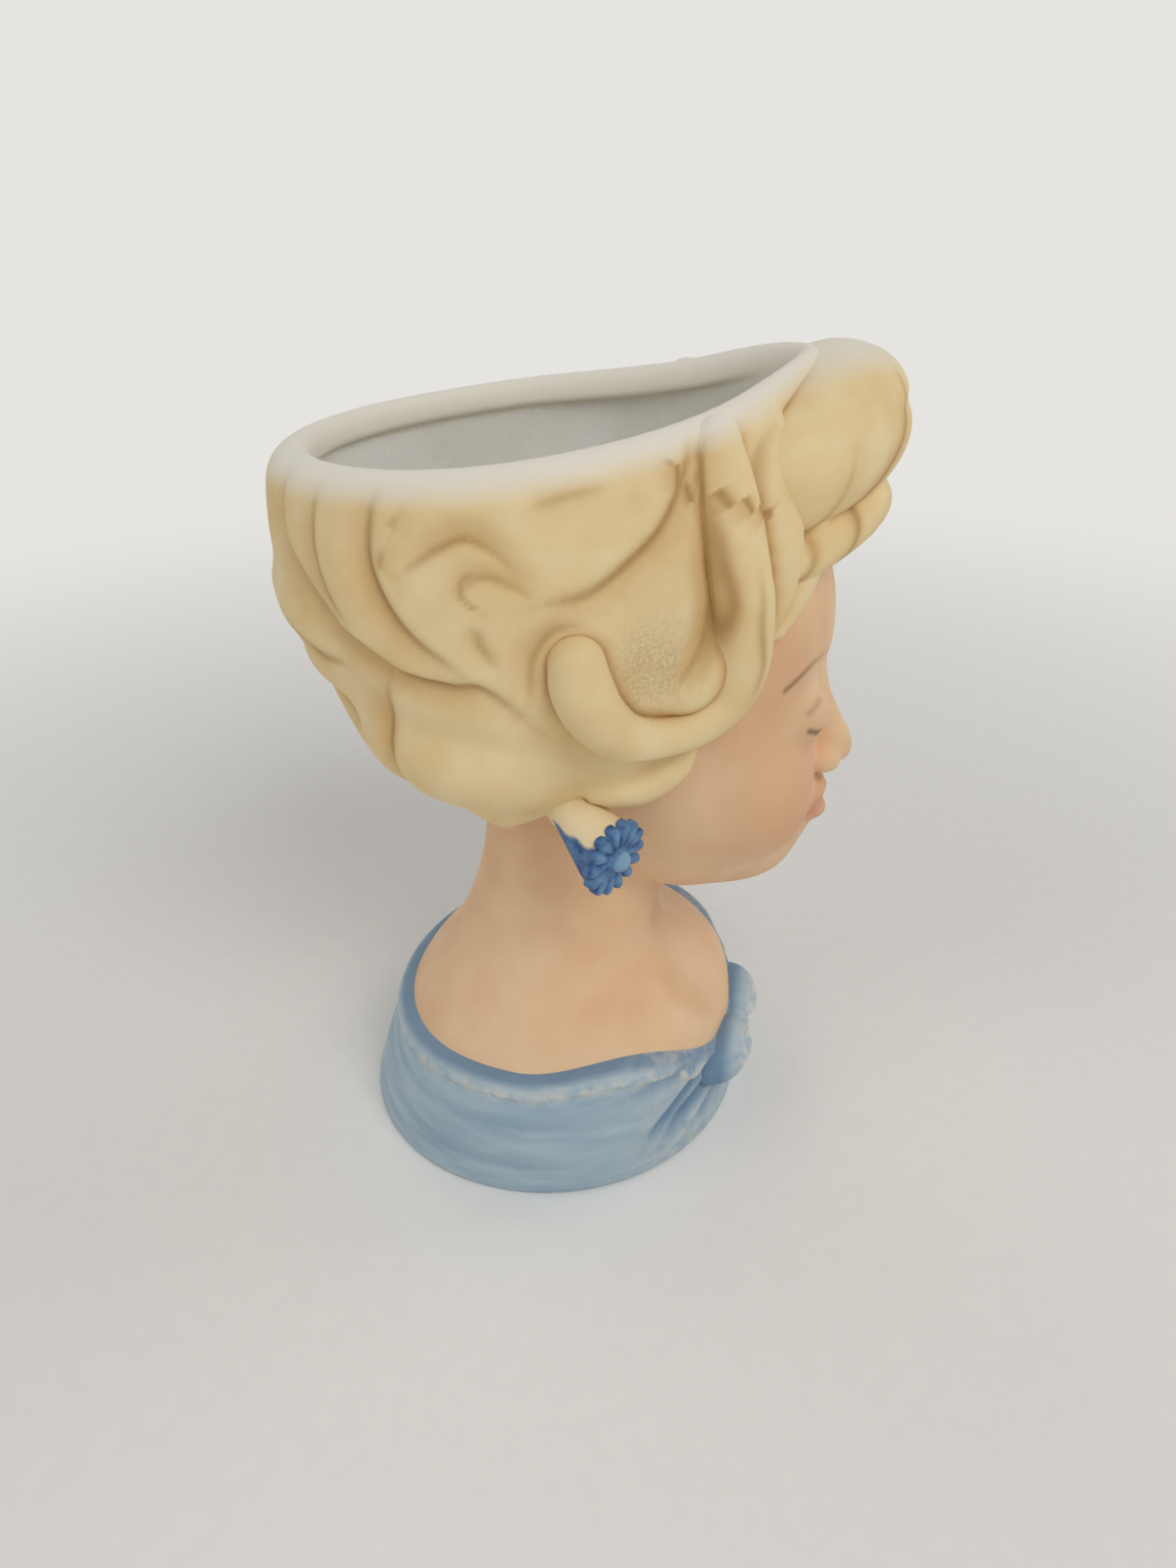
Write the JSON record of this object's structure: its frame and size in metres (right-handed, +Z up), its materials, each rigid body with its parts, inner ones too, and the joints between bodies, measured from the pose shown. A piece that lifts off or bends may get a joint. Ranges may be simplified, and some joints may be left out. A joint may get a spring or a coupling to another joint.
{
  "type": "head planter",
  "caption": "Ceramic bust planter: the hair is open at the top as a planting mouth, with a long neck, flower earrings and an off-shoulder bodice with a bow as its foot.",
  "frame": {"origin": "centre of the round foot, on the surface that the planter stands on", "axes": "+Z up, the figure faces -Y, and its right side is -X"},
  "size_m": [0.091, 0.1032, 0.14],
  "materials": {
    "hair_bisque": "matt bisque",
    "skin_bisque": "matt bisque",
    "bodice_bisque": "matt bisque",
    "earring_bisque": "satin",
    "floor_bisque": "matt bisque"
  },
  "bodies": {
    "root": {"hair_front": "hair_bisque", "hair_back": "hair_bisque", "rim_collar": "hair_bisque", "fringe_upper_lock": "hair_bisque", "fringe_lower_lock": "hair_bisque", "right_side_curl": "hair_bisque", "left_side_curl": "hair_bisque", "face": "skin_bisque", "neck_and_shoulders": "skin_bisque", "right_ear": "skin_bisque", "left_ear": "skin_bisque", "bodice_front": "bodice_bisque", "bodice_back": "bodice_bisque", "neckline_band": "bodice_bisque", "bow_knot": "bodice_bisque", "bow_right_loop": "bodice_bisque", "bow_left_loop": "bodice_bisque", "right_earring_drop": "earring_bisque", "left_earring_drop": "earring_bisque", "right_earring_flower": "earring_bisque", "left_earring_flower": "earring_bisque", "base_floor": "floor_bisque"}
  },
  "joints": []
}
